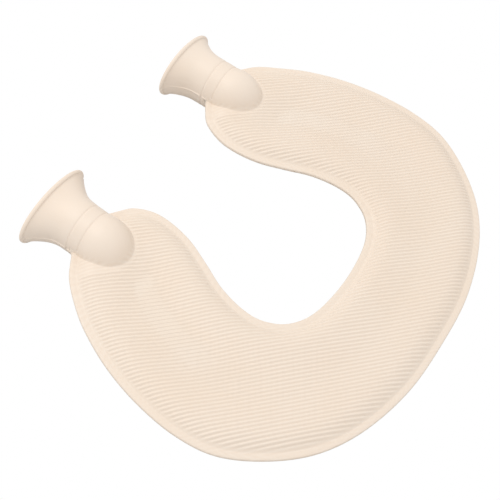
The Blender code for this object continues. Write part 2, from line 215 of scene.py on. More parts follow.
class BagSettings(bpy.types.PropertyGroup):
    """Sizes of the moulded bag."""

    wall: FloatProperty(name="Wall", description="Thickness of a panel", default=1.8 * MM, unit="LENGTH")
    parting: FloatProperty(
        name="Parting", description="Gap between the two panels' rims", default=0.16 * MM, unit="LENGTH"
    )
    rim_width: FloatProperty(
        name="Rim Width", description="Flat band round the edge", default=5.5 * MM, unit="LENGTH"
    )
    edge_round: FloatProperty(
        name="Edge Round", description="Rounding of the rim's outer edge", default=0.95 * MM, unit="LENGTH"
    )
    crease_depth: FloatProperty(
        name="Crease Depth", description="Fine crease beside the rim band", default=0.05 * MM, unit="LENGTH"
    )
    roll_rise: FloatProperty(
        name="Roll Rise",
        description="Height of the upper panel's round shoulder",
        default=5.6 * MM,
        unit="LENGTH",
    )
    roll_width: FloatProperty(
        name="Roll Width", description="Width of the round shoulder", default=14.0 * MM, unit="LENGTH"
    )
    sag_base: FloatProperty(
        name="Sag at Base", description="Sag of the empty bag's closed end", default=2.0 * MM, unit="LENGTH"
    )
    sag_arm: FloatProperty(
        name="Sag at Arms", description="Sag of the empty bag's arms", default=4.6 * MM, unit="LENGTH"
    )
    step_rise: FloatProperty(
        name="Step Rise", description="Rise beside the rim, underneath", default=3.2 * MM, unit="LENGTH"
    )
    step_width: FloatProperty(
        name="Step Width", description="Width of that rise", default=9.0 * MM, unit="LENGTH"
    )
    bulge: FloatProperty(
        name="Bulge", description="Bulge of the lower panel", default=11.0 * MM, unit="LENGTH"
    )
    bulge_width: FloatProperty(
        name="Bulge Width",
        description="Distance from the rim where it levels out",
        default=44.5 * MM,
        unit="LENGTH",
    )
    waviness: FloatProperty(
        name="Waviness", description="Unevenness of the soft sheets", default=0.6 * MM, unit="LENGTH"
    )
    rib_pitch: FloatProperty(
        name="Rib Pitch", description="Distance from rib to rib", default=3.08 * MM, unit="LENGTH"
    )
    rib_phase: FloatProperty(
        name="Rib Phase",
        description="Place of rib 0, as a share of the pitch",
        default=0.38,
    )
    rib_height: FloatProperty(
        name="Rib Height", description="Rise from valley to crest", default=0.85 * MM, unit="LENGTH"
    )
    rib_angle: FloatProperty(
        name="Rib Angle", description="Direction of the ribs", default=math.radians(-42.5), subtype="ANGLE"
    )
    boss_blend: FloatProperty(
        name="Boss Blend", description="Fillet between bag and neck", default=4.5 * MM, unit="LENGTH"
    )
    seam_height: FloatProperty(
        name="Seam Height",
        description="Height of the seam over the surface",
        default=14.8 * MM,
        unit="LENGTH",
    )
    seam_slope: FloatProperty(
        name="Seam Slope",
        description="Rise of the seam towards the mouths",
        default=0.036,
    )


class NeckSettings(bpy.types.PropertyGroup):
    """Sizes of the two funnel necks."""

    groove_depth: FloatProperty(
        name="Groove Depth", description="Depth of the collar's grooves", default=0.42 * MM, unit="LENGTH"
    )
    groove_width: FloatProperty(
        name="Groove Width", description="Width of the collar's grooves", default=1.5 * MM, unit="LENGTH"
    )
    fin_height: FloatProperty(
        name="Parting Fin",
        description="Height of the mould's parting line",
        default=0.75 * MM,
        unit="LENGTH",
    )


class RubberSettings(bpy.types.PropertyGroup):
    """Colours of the rubber, with the painted shade between the ribs."""

    panel: FloatVectorProperty(
        name="Panel", description="Bag's colour", default=(0.83, 0.725, 0.62), subtype="COLOR", min=0, max=1
    )
    # Painted shade: a darker colour laid into the valleys between the ribs, where shade falls
    valley: FloatVectorProperty(
        name="Valley",
        description="Between the ribs",
        default=(0.79, 0.665, 0.55),
        subtype="COLOR",
        min=0,
        max=1,
    )
    rim: FloatVectorProperty(
        name="Rim",
        description="Flat band at the edge",
        default=(0.85, 0.74, 0.65),
        subtype="COLOR",
        min=0,
        max=1,
    )
    neck: FloatVectorProperty(
        name="Neck", description="Necks' colour", default=(0.825, 0.71, 0.602), subtype="COLOR", min=0, max=1
    )


class StudioSettings(bpy.types.PropertyGroup):
    """Camera and light."""

    camera_place: FloatVectorProperty(
        name="Camera Place",
        description="Where the camera stands",
        default=(-0.4143, -0.12555, 0.6937),
        subtype="XYZ",
    )
    camera_turn: FloatVectorProperty(
        name="Camera Turn",
        description="The camera's rotation",
        default=(math.radians(30.277), math.radians(-8.531), math.radians(-56.718)),
        subtype="EULER",
    )
    camera_lens: FloatProperty(name="Lens", description="Focal length in millimetres", default=70.24)
    key_power: FloatProperty(
        name="Key", description="Power of the large soft light", default=10.5, unit="POWER"
    )
    sky_light: FloatProperty(name="Surround", description="Strength of the white surround", default=0.9)


def settings(name):
    return getattr(bpy.context.scene, name)


# --- Plan of the bag ---


def spline(points, side, step):
    """Catmull-Rom curve through the points, which leaves x = 0 square to it; side -1 mirrors it."""
    before = (-points[1][0], points[1][1])
    after = tuple(2 * a - b for a, b in zip(points[-1], points[-2]))
    p = np.array([before, *points, after]) * (side, 1.0)
    p[:, 1] += ARM_EXTRA[side] * ramp(p[:, 1], *ARM_EXTRA_Y)
    out = []
    for i in range(1, len(p) - 2):
        a, b, c, d = p[i - 1 : i + 3]
        count = max(2, int(np.linalg.norm(c - b) / step))
        t = np.arange(count)[:, None] / count
        bend = (2 * a - 5 * b + 4 * c - d) * t**2 + (3 * b - a - 3 * c + d) * t**3
        out.append(0.5 * (2 * b + (c - a) * t + bend))
    return np.vstack([*out, p[-2:-1]])


def edge_runs():
    """The edge as open runs between the neck ends: outer right, outer left, inner right, inner left."""
    return [spline(table, side, EDGE_STEP) for table in (OUTER_EDGE, INNER_EDGE) for side in (1, -1)]


def in_lots(points, work):
    """Calls work on a few hundred points at a time and joins what it returns."""
    return np.concatenate([work(lot) for lot in np.array_split(points, len(points) // 300 + 1)])


def distance_to(runs, points):
    """Distance from each point to the nearest of the runs."""
    start = np.vstack([run[:-1] for run in runs])
    along = np.vstack([np.diff(run, axis=0) for run in runs])
    square = (along * along).sum(axis=1)

    def nearest(lot):
        x, y = (lot[:, None, k] - start[:, k] for k in (0, 1))
        t = np.clip((x * along[:, 0] + y * along[:, 1]) / square, 0.0, 1.0)
        return np.hypot(x - t * along[:, 0], y - t * along[:, 1]).min(axis=1)

    return in_lots(points, nearest)


def inside(polygon, points):
    """Whether each point lies inside the closed polygon."""
    ax, ay = polygon.T
    bx, by = np.roll(polygon, -1, axis=0).T
    slope = (bx - ax) / np.where(by == ay, 1.0, by - ay)

    def crossings(lot):
        x, y = lot[:, :1], lot[:, 1:]
        return (((ay > y) != (by > y)) & (x < slope * (y - ay) + ax)).sum(axis=1) % 2 == 1

    return in_lots(points, crossings)


def smooth(t):
    t = np.clip(t, 0.0, 1.0)
    return t * t * (3.0 - 2.0 * t)


def ramp(value, low, high):
    return smooth((value - low) / (high - low))


def sheet_height(runs, points, upper):
    """Height of a panel's outside over the seam, without ribs, in millimetres."""
    bag = settings("bottle_bag")
    edge, y = distance_to(runs, points), points[:, 1]
    rise, width, sag_base, sag_arm = (
        (bag.roll_rise, bag.roll_width, bag.sag_base, bag.sag_arm)
        if upper
        else (bag.bulge, bag.bulge_width, 0.0, 0.0)
    )
    past_rim = np.maximum(edge - bag.rim_width / MM, 0.0)
    eased = past_rim**2 / (past_rim + SOFT_START)
    height = rise / MM * (1.0 - (1.0 - np.minimum(eased * MM / width, 1.0)) ** 2)
    if not upper:
        height += bag.step_rise / MM * smooth(past_rim * MM / bag.step_width)
    sag = (sag_base + (sag_arm - sag_base) * ramp(y, *SAG_GROWS_Y)) / MM * (1.0 - ramp(y, *SAG_FADES_Y))
    return bag.wall / MM + height - sag * ramp(edge, *SAG_SPAN)


def neck_middle(side, y):
    """X of a neck's middle, at the y of the shorter arm."""
    return side * (NECK_X - TOE_IN * (y - TOE_Y))


def arm_extra(x):
    return np.where(x > 0.0, ARM_EXTRA[1], ARM_EXTRA[-1])


def boss_height(points):
    """Height of a neck's boss over the seam; below zero outside it."""
    x, y = points[:, 0], points[:, 1] - arm_extra(points[:, 0])
    narrowed = ramp(y, BOSS_Y, COLLAR_Y)
    half_width, half_height = (a + (b - a) * narrowed for a, b in zip(BOSS_HALF, COLLAR_HALF))
    off = (x - neck_middle(np.sign(x), y)) / half_width
    square = 1.0 - np.maximum((BOSS_Y - y) / BOSS_LENGTH, 0.0) ** 2 - off**2
    return half_height * np.sign(square) * np.sqrt(np.abs(square))


def boss_ring(runs, side, upper, level, last_y, more=0.0):
    """Line round a boss where it stands level times the blend over the panel, moved out by more."""
    ys = np.arange(last_y, BOSS_Y, -RING_STEP)
    turn = np.linspace(0.0, math.pi, 49)
    straight = np.c_[neck_middle(side, ys), ys]
    round_end = np.tile((neck_middle(side, BOSS_Y), BOSS_Y), (len(turn), 1))
    start = np.r_[straight, round_end, straight[::-1]] + (0.0, ARM_EXTRA[side])
    sideways = np.tile((1.0, 0.0), (len(ys), 1))
    way = np.r_[sideways, np.c_[np.cos(turn), -np.sin(turn)], -sideways]
    near, far = (np.full(len(start), reach) for reach in RING_SEARCH)
    blend = settings("bottle_bag").boss_blend / MM
    for _ in range(24):
        middle = (near + far) / 2
        points = start + way * middle[:, None]
        over = boss_height(points) - sheet_height(runs, points, upper) > level * blend
        near, far = np.where(over, middle, near), np.where(over, far, middle)
    return start + way * (near + more)[:, None]


def outline(runs, upper):
    """The closed edge, counter-clockwise from the base's middle, with a notch round each boss."""
    right_out, left_out, right_in, left_in = runs
    right, left = (boss_ring(runs, side, upper, BOSS_EDGE_LEVEL, SHOULDER_END_Y) for side in (1, -1))
    return np.vstack([right_out, right, right_in[::-1], left_in[1:], left, left_out[:0:-1]])


def contour_runs(runs, polygon, distance):
    """Curves that run inside the edge at the given distance from it."""
    found = []
    for run in runs:
        along = np.gradient(run, axis=0)
        along /= np.linalg.norm(along, axis=1)[:, None]
        normal = np.c_[-along[:, 1], along[:, 0]]
        for side in (distance, -distance):
            moved = run + side * normal
            keep = inside(polygon, moved) & (distance_to(runs, moved) > CLEAR_SHARE * distance)
            keep &= moved[:, 1] - arm_extra(moved[:, 0]) < SHOULDER_END_Y - STOP_SHORT["contour"]
            cuts = np.flatnonzero(np.diff(np.r_[False, keep, False].astype(int)))
            found += [moved[a:b] for a, b in zip(cuts[::2], cuts[1::2]) if b - a > 3]
    return found


def rib_lines(runs, polygon):
    """Lines of the mesh along the ribs, several to each, closer together along the line near the edge."""
    bag = settings("bottle_bag")
    along = np.array((math.cos(bag.rib_angle), math.sin(bag.rib_angle)))
    across = np.array((-along[1], along[0]))
    step = bag.rib_pitch / MM / LINES_PER_RIB
    start = bag.rib_phase * bag.rib_pitch / MM
    corners = polygon @ across - start
    numbers = np.arange(math.ceil(corners.min() / step), math.floor(corners.max() / step) + 1)
    reach = np.arange(-320.0, 320.0, 1.25)
    lines = []
    for number in numbers:
        points = along * reach[:, None] + across * (start + number * step)
        index = np.flatnonzero(inside(polygon, points))
        d = distance_to(runs, points[index])
        x, y = points[index].T
        y = y - arm_extra(x)
        near_boss = np.hypot(np.abs(x) - NECK_X, np.minimum(y - BOSS_Y, 0.0)) < BOSS_REACH
        keep = (d > RIBBED_FROM) & ((d < FINE_TO) | near_boss | (index % COARSE_EVERY == 0))
        keep &= y < SHOULDER_END_Y - STOP_SHORT["rib"]
        index = index[keep]
        for part in np.split(index, np.flatnonzero(np.diff(index) > COARSE_EVERY) + 1):
            if len(part) > 1:
                lines.append(points[part])
    return lines


def flat_mesh(polygon, lines):
    """Triangulates the area inside the polygon, with every line as edges of the mesh."""
    points = [tuple(p) for p in polygon]
    count = len(points)
    edges = [(i, (i + 1) % count) for i in range(count)]
    for line in lines:
        start = len(points)
        points += [tuple(p) for p in line]
        edges += [(i, i + 1) for i in range(start, len(points) - 1)]
    made = delaunay_2d_cdt(points, edges, [], 0, 1e-4)
    flat = np.array([tuple(p) for p in made[0]])
    faces = np.array(made[2])
    return flat, faces[inside(polygon, flat[faces].mean(axis=1))]


def bag_plan(name, upper):
    """The panel as a flat closed skin: its outside and inside, both still in the seam plane."""
    runs = edge_runs()
    polygon = outline(runs, upper)
    last_y, foot = SHOULDER_END_Y - STOP_SHORT["ring"], BOSS_LEVELS[-1]
    rings = [boss_ring(runs, side, upper, level, last_y) for side in (1, -1) for level in BOSS_LEVELS]
    rings += [boss_ring(runs, side, upper, foot, BOSS_Y, more) for side in (1, -1) for more in FOOT_RINGS]
    rim = [line for d in RIM_CONTOURS for line in contour_runs(runs, polygon, d)]
    if upper:
        body = rib_lines(runs, polygon)
    else:
        body = [line for d in PLAIN_CONTOURS for line in contour_runs(runs, polygon, d)]
    inner = [line[::2] for d in INNER_CONTOURS for line in contour_runs(runs, polygon, d)]
    bm = bmesh.new()
    layer = bm.verts.layers.float.new("inner")
    loops = []
    for lines, is_inner in ((rim + rings + body, False), (inner, True)):
        flat, faces = flat_mesh(polygon, lines)
        verts = [bm.verts.new((x * MM, y * MM, 0.0)) for x, y in flat]
        for vert in verts:
            vert[layer] = float(is_inner)
        for a, b, c in faces:
            order = (a, b, c) if is_inner != upper else (a, c, b)
            bm.faces.new([verts[i] for i in order])
        nearest = [np.hypot(*(flat - p).T).argmin() for p in polygon]
        loops.append([verts[i] for i in nearest])
    outer_loop, inner_loop = loops if upper else loops[::-1]
    for i in range(len(polygon)):
        j = (i + 1) % len(polygon)
        bm.faces.new((inner_loop[i], inner_loop[j], outer_loop[j], outer_loop[i]))
    bmesh.ops.delete(bm, geom=[v for v in bm.verts if not v.link_faces], context="VERTS")
    mesh = bpy.data.meshes.new(name)
    bm.to_mesh(mesh)
    bm.free()
    return mesh, runs


def edge_guide(runs):
    """The bag's edge as a wire, which the sheet tree measures distances to."""
    bm = bmesh.new()
    for run in runs:
        verts = [bm.verts.new((x * MM, y * MM, 0.0)) for x, y in run]
        for a, b in zip(verts[:-1], verts[1:]):
            bm.edges.new((a, b))
    mesh = bpy.data.meshes.new("bag_edge_guide")
    bm.to_mesh(mesh)
    bm.free()
    guide = bpy.data.objects.new("bag_edge_guide", mesh)
    bpy.context.scene.collection.objects.link(guide)
    return guide


# --- Node trees ---


class Term:
    """An output in a node tree that ordinary arithmetic builds on."""

    def __init__(self, tree, socket):
        self.tree, self.socket = tree, socket

    def math(self, operation, *others, clamp=False, swap=False):
        node = self.tree.nodes.new("ShaderNodeMath")
        node.operation = operation
        node.use_clamp = clamp
        items = (*others, self) if swap else (self, *others)
        for slot, item in zip(node.inputs, items):
            feed(self.tree, slot, item)
        return Term(self.tree, node.outputs[0])

    def __add__(self, other):
        return self.math("ADD", other)

    def __sub__(self, other):
        return self.math("SUBTRACT", other)

    def __rsub__(self, other):
        return self.math("SUBTRACT", other, swap=True)

    def __mul__(self, other):
        return self.math("MULTIPLY", other)

    def __truediv__(self, other):
        return self.math("DIVIDE", other)

    def __neg__(self):
        return self * -1.0

    def clamped(self):
        return self.math("ADD", 0.0, clamp=True)

    def least(self, other):
        return self.math("MINIMUM", other)

    def most(self, other):
        return self.math("MAXIMUM", other)

    def power(self, exponent):
        return self.math("POWER", exponent)

    def smooth(self, low, high):
        """0 below low, 1 above high, and an eased ramp between."""
        node = self.tree.nodes.new("ShaderNodeMapRange")
        node.interpolation_type = "SMOOTHSTEP"
        for slot, item in zip(node.inputs, (self, low, high, 0.0, 1.0)):
            feed(self.tree, slot, item)
        return Term(self.tree, node.outputs["Result"])

    def over(self, span):
        """The same, over a span in millimetres."""
        low, high = (value * MM for value in span)
        return self.smooth(low, high)


def feed(tree, slot, item):
    if isinstance(item, Term):
        tree.links.new(item.socket, slot)
    elif isinstance(item, bpy.types.NodeSocket):
        tree.links.new(item, slot)
    else:
        slot.default_value = item


def add_node(tree, kind, inputs=None, **values):
    node = tree.nodes.new(kind)
    for key, value in values.items():
        setattr(node, key, value)
    for key, item in (inputs or {}).items():
        feed(tree, node.inputs[key], item)
    return node


SHEET_INPUTS = (
    # name, kind, where its value comes from
    ("Edge", "NodeSocketObject", None),
    ("Wall", "NodeSocketFloat", "wall"),
    ("Parting", "NodeSocketFloat", "parting"),
    ("Rim Width", "NodeSocketFloat", "rim_width"),
    ("Edge Round", "NodeSocketFloat", "edge_round"),
    ("Crease Depth", "NodeSocketFloat", "crease_depth"),
    ("Step Rise", "NodeSocketFloat", None),
    ("Step Width", "NodeSocketFloat", "step_width"),
    ("Swell", "NodeSocketFloat", None),
    ("Swell Width", "NodeSocketFloat", None),
    ("Base Sag", "NodeSocketFloat", None),
    ("Arm Sag", "NodeSocketFloat", None),
    ("Rib Pitch", "NodeSocketFloat", "rib_pitch"),
    ("Rib Phase", "NodeSocketFloat", "rib_phase"),
    ("Rib Height", "NodeSocketFloat", None),
    ("Rib Angle", "NodeSocketFloat", "rib_angle"),
    ("Right First Rib", "NodeSocketFloat", None),
    ("Left First Rib", "NodeSocketFloat", None),
    ("Boss Blend", "NodeSocketFloat", "boss_blend"),
    ("Seam Height", "NodeSocketFloat", "seam_height"),
    ("Seam Slope", "NodeSocketFloat", "seam_slope"),
    ("Seam Shift", "NodeSocketFloat", None),
    ("Side", "NodeSocketFloat", None),
    ("Waviness", "NodeSocketFloat", "waviness"),
    ("Material", "NodeSocketMaterial", None),
)


def from_neck(x, y):
    """A point's arm, its y there, and how far it lies from the neck's middle, across and behind."""
    right = x.math("GREATER_THAN", 0.0)
    arm_y = y - (right * ((ARM_EXTRA[1] - ARM_EXTRA[-1]) * MM) + ARM_EXTRA[-1] * MM)
    side = right * 2.0 - 1.0
    off = x - side * ((arm_y - TOE_Y * MM) * -TOE_IN + NECK_X * MM)
    return right, arm_y, off, (arm_y - BOSS_Y * MM).least(0.0)


def rib_relief(put, x, y, edge):
    """Height share of the ribs, -0.5 in a valley to 0.5 on a crest, and where there are ribs at all."""
    angle = put("Rib Angle")
    cosine, sine = angle.math("COSINE"), angle.math("SINE")
    number = (y * cosine - x * sine) / put("Rib Pitch") - put("Rib Phase")
    right, arm_y, off, behind = from_neck(x, y)
    first = right * put("Right First Rib") + (1.0 - right) * put("Left First Rib")
    beside = off * cosine + (arm_y - BOSS_Y * MM) * sine
    half_width = BOSS_HALF[0] * MM
    across_boss, along_boss = off / half_width, behind / (BOSS_LENGTH * MM)
    past_boss = ((across_boss * across_boss + along_boss * along_boss).math("SQRT") - 1.0) * half_width
    share = edge.over(RIB_RIM_SPAN)
    share = share.least(past_boss.over(RIB_BOSS_SPAN))
    share = share.least(1.0 - arm_y.over(RIB_END_SPAN))
    past_first = ((first + 0.5 - number) * 2.0).smooth(0.0, 1.0)
    share = share.least(past_first.most(beside.over(RIB_BESIDE_SPAN)))
    turn = number * (2.0 * math.pi)
    round_crest = (number * math.pi).math("COSINE").math("ABSOLUTE") - 0.5
    wave = turn.math("COSINE") * RIB_WAVE + round_crest * RIB_CREST
    return wave, share


def boss_surface(x, y):
    """Height of a neck's boss over the seam; below zero outside it."""
    _, arm_y, off, behind = from_neck(x, y)
    narrowed = arm_y.over((BOSS_Y, COLLAR_Y))
    half_width, half_height = (narrowed * ((b - a) * MM) + a * MM for a, b in zip(BOSS_HALF, COLLAR_HALF))
    across, along = off / half_width, behind / (BOSS_LENGTH * MM)
    square = 1.0 - along * along - across * across
    return square.math("SIGN") * square.math("ABSOLUTE").math("SQRT") * half_height


def sheet_tree():
    """Raises a flat closed skin into one of the bag's moulded panels."""
    tree = bpy.data.node_groups.new("moulded_sheet", "GeometryNodeTree")
    tree.is_modifier = True
    face = tree.interface
    face.new_socket("Geometry", in_out="INPUT", socket_type="NodeSocketGeometry")
    for name, kind, _ in SHEET_INPUTS:
        face.new_socket(name, in_out="INPUT", socket_type=kind)
    face.new_socket("Geometry", in_out="OUTPUT", socket_type="NodeSocketGeometry")
    start = add_node(tree, "NodeGroupInput")
    end = add_node(tree, "NodeGroupOutput")

    def put(name):
        return Term(tree, start.outputs[name])

    guide = add_node(tree, "GeometryNodeObjectInfo", {"Object": put("Edge")})
    near = add_node(tree, "GeometryNodeProximity", {0: guide.outputs["Geometry"]}, target_element="EDGES")
    edge = Term(tree, near.outputs["Distance"])
    place = add_node(tree, "GeometryNodeInputPosition")
    parts = add_node(tree, "ShaderNodeSeparateXYZ", {0: place.outputs[0]})
    x, y = Term(tree, parts.outputs[0]), Term(tree, parts.outputs[1])
    named = add_node(tree, "GeometryNodeInputNamedAttribute", {"Name": "inner"}, data_type="FLOAT")
    inner = Term(tree, named.outputs["Attribute"])
    outer = 1.0 - inner

    # Round shoulder or bulge, and the sag between
    wall, rim, half_gap = put("Wall"), put("Rim Width"), put("Parting") * 0.5
    past_rim = edge - rim
    rise = put("Step Rise") * past_rim.smooth(0.0, put("Step Width"))
    beyond = past_rim.most(0.0)
    eased = beyond * beyond / (beyond + SOFT_START * MM)
    swell = put("Swell") * (1.0 - (1.0 - (eased / put("Swell Width")).clamped()).power(2.0))
    sag = put("Base Sag") + (put("Arm Sag") - put("Base Sag")) * y.over(SAG_GROWS_Y)
    sag = sag * (1.0 - y.over(SAG_FADES_Y)) * edge.over(SAG_SPAN)
    wobble = add_node(
        tree,
        "ShaderNodeTexNoise",
        {"Vector": place.outputs[0], "W": 3.7, "Scale": 22.0, "Detail": 1.0},
        noise_dimensions="4D",
    )
    waves = (Term(tree, wobble.outputs[0]) - 0.5) * put("Waviness") * past_rim.over(WAVES_SPAN)
    height = wall + rise + swell - sag + waves

    # Inside: the same, a wall lower
    inside_height = (height - wall).most(0.0) + half_gap

    # Outside: rounded edge, crease, ribs, and the blend up to each boss
    round_share = (edge / put("Edge Round")).clamped()
    rounded = (1.0 - (1.0 - round_share).power(2.0)).math("SQRT")
    lip = half_gap - wall + (wall - half_gap) * rounded
    from_crease = past_rim / (CREASE_WIDTH * MM)
    crease = put("Crease Depth") * (-(from_crease * from_crease)).math("EXPONENT")
    wave, share = rib_relief(put, x, y, edge)
    outside = height + lip - crease + put("Rib Height") * wave * share
    boss, blend = boss_surface(x, y), put("Boss Blend")
    tuck = ((boss - outside) / blend).smooth(*TUCK_SPAN) * (TUCK * MM)
    final = inner * inside_height + outer * (outside.math("SMOOTH_MAX", boss, blend) - tuck)

    # Set down on the surface, which the lower panel doesn't pass
    seam = put("Seam Height") + y * put("Seam Slope")
    z = (seam + final * put("Side")).most(inner * wall + outer * tuck)
    moved = add_node(tree, "ShaderNodeCombineXYZ", {0: x, 1: y - put("Seam Shift"), 2: z})
    shaped = add_node(
        tree,
        "GeometryNodeSetPosition",
        {"Geometry": start.outputs["Geometry"], "Position": moved.outputs[0]},
    )
    flow = shaped.outputs[0]
    # Masks for the material: the rim band, and painted shade in the rib valleys, which the lower panel gets
    # too though it has no ribs
    marks = (
        ("rim_band", outer * (1.0 - past_rim.over(RIM_BAND_SPAN))),
        ("rib_valley", outer * share * (0.5 - wave).clamped()),
    )
    for name, value in marks:
        store = add_node(
            tree,
            "GeometryNodeStoreNamedAttribute",
            {"Geometry": flow, "Name": name, "Value": value},
            data_type="FLOAT",
            domain="POINT",
        )
        flow = store.outputs[0]
    soft = add_node(tree, "GeometryNodeSetShadeSmooth", {"Geometry": flow})
    real = add_node(tree, "GeometryNodeRealizeInstances", {"Geometry": soft.outputs[0]})
    dressed = add_node(
        tree, "GeometryNodeSetMaterial", {"Geometry": real.outputs[0], "Material": put("Material")}
    )
    tree.links.new(dressed.outputs[0], end.inputs[0])
    return tree


def seam_shift():
    """How far the model lies from the seam frame along Y: the mouths' lips end at both frames' far side."""
    lip = (max(row[0] for row in MOUTH_BEAD) + ARM_EXTRA[1]) * MM
    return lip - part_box("neck_right")[1].y


def raise_sheet(name, upper, material):
    bag = settings("bottle_bag")
    tree = bpy.data.node_groups.get("moulded_sheet") or sheet_tree()
    mesh, runs = bag_plan(name, upper)
    guide = edge_guide(runs)
    piece = bpy.data.objects.new(name, mesh)
    bpy.context.scene.collection.objects.link(piece)
    modifier = piece.modifiers.new("moulded_sheet", "NODES")
    modifier.node_group = tree
    values = {name: getattr(bag, source) for name, _, source in SHEET_INPUTS if source}
    values |= {
        "Edge": guide,
        "Step Rise": 0.0 if upper else bag.step_rise,
        "Swell": bag.roll_rise if upper else bag.bulge,
        "Swell Width": bag.roll_width if upper else bag.bulge_width,
        "Base Sag": bag.sag_base if upper else 0.0,
        "Arm Sag": bag.sag_arm if upper else 0.0,
        "Rib Height": bag.rib_height if upper else 0.0,
        "Right First Rib": FIRST_RIBS[0],
        "Left First Rib": FIRST_RIBS[1],
        "Seam Shift": seam_shift(),
        "Side": 1.0 if upper else -1.0,
        "Material": material,
    }
    for item in tree.interface.items_tree:
        if item.in_out == "INPUT" and item.name in values:
            modifier[item.identifier] = values[item.name]
    graph = bpy.context.evaluated_depsgraph_get()
    made = bpy.data.meshes.new_from_object(piece.evaluated_get(graph))
    piece.modifiers.clear()
    piece.data = made
    made.name = name
    bpy.data.meshes.remove(mesh)
    bpy.data.objects.remove(guide)
    close_seams(made)
    return piece


def close_seams(mesh):
    """Merges points that lie on one another, and drops the faces that this leaves without area."""
    bm = bmesh.new()
    bm.from_mesh(mesh)
    bmesh.ops.remove_doubles(bm, verts=bm.verts[:], dist=2e-6)
    bmesh.ops.dissolve_degenerate(bm, dist=1e-6, edges=bm.edges[:])
    bm.to_mesh(mesh)
    bm.free()


# --- Necks ---


def curve_rows(rows, steps):
    """Catmull-Rom through the rows, which keeps both ends."""
    rows = np.array(rows)
    p = np.vstack([2 * rows[0] - rows[1], rows, 2 * rows[-1] - rows[-2]])
    out = []
    for i in range(1, len(p) - 2):
        a, b, c, d = p[i - 1 : i + 3]
        t = np.arange(steps)[:, None] / steps
        bend = (2 * a - 5 * b + 4 * c - d) * t**2 + (3 * b - a - 3 * c + d) * t**3
        out.append(0.5 * (2 * b + (c - a) * t + bend))
    return np.vstack([*out, rows[-1:]])


def squeezed(side, rows):
    """The funnel's rows once its mouth has taken its oval."""
    y, half_width, half_height = rows.T
    share = MOUTH_SQUEEZE[side] * ramp(y, GROOVES_Y[1], MOUTH_BEAD[0][0])
    return np.c_[y, half_width * (1.0 + share), half_height * (1.0 - share)]


def neck_rows(side):
    """Cross-sections from the boss's blunt end along the outside, over the lip, and back inside: y, half
    width, half height, roundness and share of the fin."""
    neck = settings("bottle_neck")
    groove_width, groove_depth = neck.groove_width / MM, neck.groove_depth / MM
    rows = []
    first = math.asin(BLUNT_SHARE)
    for angle in np.linspace(first, math.pi / 2, 20):
        y, share = BOSS_Y - BOSS_LENGTH * math.cos(angle), math.sin(angle)
        under = UNDER_SHEET * (1.0 - float(ramp(angle, first, first + UNDER_SHEET_TURN)))
        rows.append((y, BOSS_HALF[0] * share - under, BOSS_HALF[1] * share - under, ELLIPSE, 0.0))
    stations = set(np.arange(BOSS_Y + 1.5, FUNNEL_OUTSIDE[0][0] - 0.5, 1.5))
    for groove in GROOVES_Y:
        stations = {y for y in stations if abs(y - groove) > 1.4 * groove_width}
        places = np.linspace(-1.3, 1.3, 15)
        stations |= {groove + t * groove_width for t in places}
    for y in sorted(stations):
        near = min(abs(y - groove) for groove in GROOVES_Y) / groove_width
        cut = groove_depth * math.exp(-((near / GROOVE_SPREAD) ** 2))
        fin = float(ramp(y, *FIN_START_SPAN)) * (1.0 - math.exp(-((near / FIN_BREAK) ** 2)))
        narrowed = float(ramp(y, BOSS_Y, COLLAR_Y))
        half_width, half_height = (a + (b - a) * narrowed - cut for a, b in zip(BOSS_HALF, COLLAR_HALF))
        rows.append((y, half_width, half_height, ELLIPSE, fin))
    for y, w, h in squeezed(side, curve_rows(FUNNEL_OUTSIDE, 4)):
        rows.append((y, w, h, ELLIPSE, 1.0 - float(ramp(y, *FIN_END_SPAN))))
    for table in (MOUTH_BEAD, FUNNEL_INSIDE):
        rows += [(*row, ELLIPSE, 0.0) for row in squeezed(side, curve_rows(table, 3))]
    throat = np.linspace(THROAT_START_Y, THROAT_END_Y + 1.0, 8)
    rows += [(y, THROAT_RADIUS, THROAT_RADIUS, ELLIPSE, 0.0) for y in throat]
    end_radius = THROAT_RADIUS - THROAT_END_STEP
    rows.append((THROAT_END_Y, end_radius, end_radius, ELLIPSE, 0.0))
    rows += [(y, *PASSAGE, 0.0) for y in (THROAT_END_Y - 1.0, PASSAGE_END_Y + 8.0)]
    rows += [(y, *PASSAGE_END, 0.0) for y in (PASSAGE_END_Y + 1.0, PASSAGE_END_Y)]
    return rows


def neck_angles():
    """Angles round a neck's section, close together at the two fins."""
    angles = set(np.linspace(0.0, 2.0 * math.pi, 97)[:-1])
    for middle in (0.0, math.pi):
        angles = {a for a in angles if min(abs(a - middle), 2 * math.pi - abs(a - middle)) > 0.1}
        angles |= {(middle + t * math.radians(1.0)) % (2 * math.pi) for t in np.arange(-5.0, 5.1, 0.5)}
    return np.array(sorted(angles))


